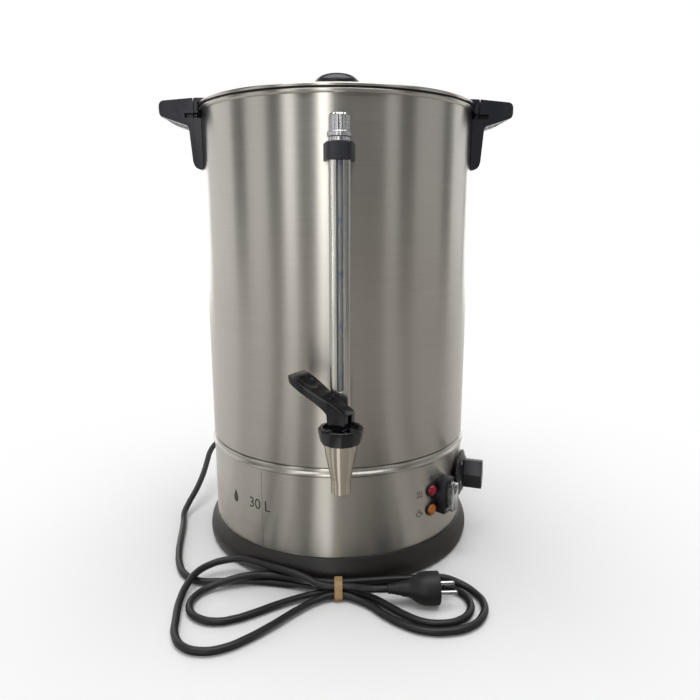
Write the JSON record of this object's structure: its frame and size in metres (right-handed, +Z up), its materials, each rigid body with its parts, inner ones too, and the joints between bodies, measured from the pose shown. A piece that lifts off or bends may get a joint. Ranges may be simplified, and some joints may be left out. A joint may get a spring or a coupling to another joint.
{
  "type": "electric water urn",
  "caption": "Tall steel catering urn with a twist-lock lid, side handles, a sight gauge, a lever tap, dial control, lamps, rocker switch and a coiled mains lead.",
  "frame": {"origin": "on the tank's axis, on the surface that the urn stands on", "axes": "+Z up along the tank's axis; the tap points along -Y; +X is to the right of someone facing the tap"},
  "size_m": [0.4421, 0.4771, 0.6037],
  "materials": {
    "brushed_steel": "fine horizontal brushing",
    "polished_steel": "bright",
    "cast_steel": "satin",
    "aluminium": "plain",
    "black_plastic": "satin moulded",
    "gloss_black": "gloss",
    "brown_black_plastic": "satin moulded",
    "black_rubber": "matt",
    "silicone": "matt",
    "white_silicone": "matt",
    "clear_tube": "clear",
    "clear_cover": "clear flexible cover",
    "red_lens": "clear gloss",
    "amber_lens": "clear gloss",
    "ceramic": "glazed",
    "elastic_band": "matt"
  },
  "bodies": {
    "urn": {"tank_shell": "brushed_steel", "tank_floor": "brushed_steel", "base_shell": "brushed_steel", "gauge_guard": "brushed_steel", "base_ring": "brown_black_plastic", "bottom_cover": "black_plastic", "foot_1": "black_rubber", "foot_2": "black_rubber", "foot_3": "black_rubber", "foot_4": "black_rubber", "cover_screw_1": "polished_steel", "cover_screw_2": "polished_steel", "cover_screw_3": "polished_steel", "handle_left": "black_plastic", "handle_right": "black_plastic", "lid_catch_left": "black_plastic", "lid_catch_right": "black_plastic", "handle_screw_left_1": "polished_steel", "handle_screw_left_2": "polished_steel", "handle_screw_right_1": "polished_steel", "handle_screw_right_2": "polished_steel", "gauge_tube": "clear_tube", "gauge_clamp": "black_plastic", "gauge_collar": "polished_steel", "gauge_seal": "white_silicone", "tap_shank": "cast_steel", "tap_nut": "polished_steel", "tap_washer": "white_silicone", "tap_spout": "cast_steel", "tap_bonnet": "gloss_black", "tap_spring": "polished_steel", "heat_spreader": "aluminium", "heating_element": "cast_steel", "warming_element": "cast_steel", "thermal_cutout": "ceramic", "thermostat_bulb": "polished_steel", "terminal_block": "ceramic", "heating_lamp": "red_lens", "keep_warm_lamp": "amber_lens", "switch_housing": "black_plastic", "splash_cover": "clear_cover", "thermostat": "ceramic", "strain_relief": "black_rubber", "power_cord": "black_rubber", "cord_band": "elastic_band", "plug_body": "black_rubber", "plug_pin_1": "polished_steel", "plug_pin_2": "polished_steel"},
    "seal": {"lid_seal": "silicone"},
    "lid": {"lid": "brushed_steel", "lid_knob": "black_plastic", "lid_knob_screw": "polished_steel"},
    "gauge_cap": {"gauge_cap": "polished_steel"},
    "seat_cup": {"tap_seat_cup": "white_silicone"},
    "tap_stem": {"tap_stem": "polished_steel", "tap_lever_pin": "polished_steel"},
    "tap_lever": {"tap_lever": "gloss_black"},
    "rocker": {"switch_rocker": "gloss_black"},
    "dial": {"thermostat_knob": "black_plastic", "thermostat_shaft": "polished_steel"}
  },
  "joints": [
    {"name": "lid_lift", "type": "slide", "parent": "urn", "child": "seal", "axis": [0, 0, 1], "range_m": [0, 0.3]},
    {"name": "lid_twist", "type": "hinge", "parent": "seal", "child": "lid", "pos_m": [0, 0, 0.56], "axis": [0, 0, 1], "range_deg": [0, 40]},
    {"name": "gauge_cap_lift", "type": "slide", "parent": "urn", "child": "gauge_cap", "axis": [0, 0, 1], "range_m": [0, 0.016]},
    {"name": "valve_lift", "type": "slide", "parent": "urn", "child": "seat_cup", "axis": [0, 0, 1], "range_m": [0, 0.0036], "deforming": ["tap_spring"]},
    {"name": "tap_swivel", "type": "hinge", "parent": "seat_cup", "child": "tap_stem", "pos_m": [0, -0.218, 0.2], "axis": [0, 0, 1], "range_deg": [0, 246]},
    {"name": "tap_lever", "type": "hinge", "parent": "tap_stem", "child": "tap_lever", "pos_m": [0, -0.218, 0.2185], "axis": [-0.5446, -0.8387, 0], "range_deg": [0, 25]},
    {"name": "thermostat_turn", "type": "hinge", "parent": "urn", "child": "dial", "pos_m": [0.15871, -0.06092, 0.0945], "axis": [0.9336, -0.3584, 0], "range_deg": [-270, 0]},
    {"name": "switch_rock", "type": "hinge", "parent": "urn", "child": "rocker", "pos_m": [0.13154, -0.11844, 0.0882], "axis": [-0.6691, -0.7431, 0], "range_deg": [0, 16]}
  ],
  "couplings": [
    {"joint": "valve_lift", "follows": "tap_lever", "m_per_rad": 0.008}
  ]
}
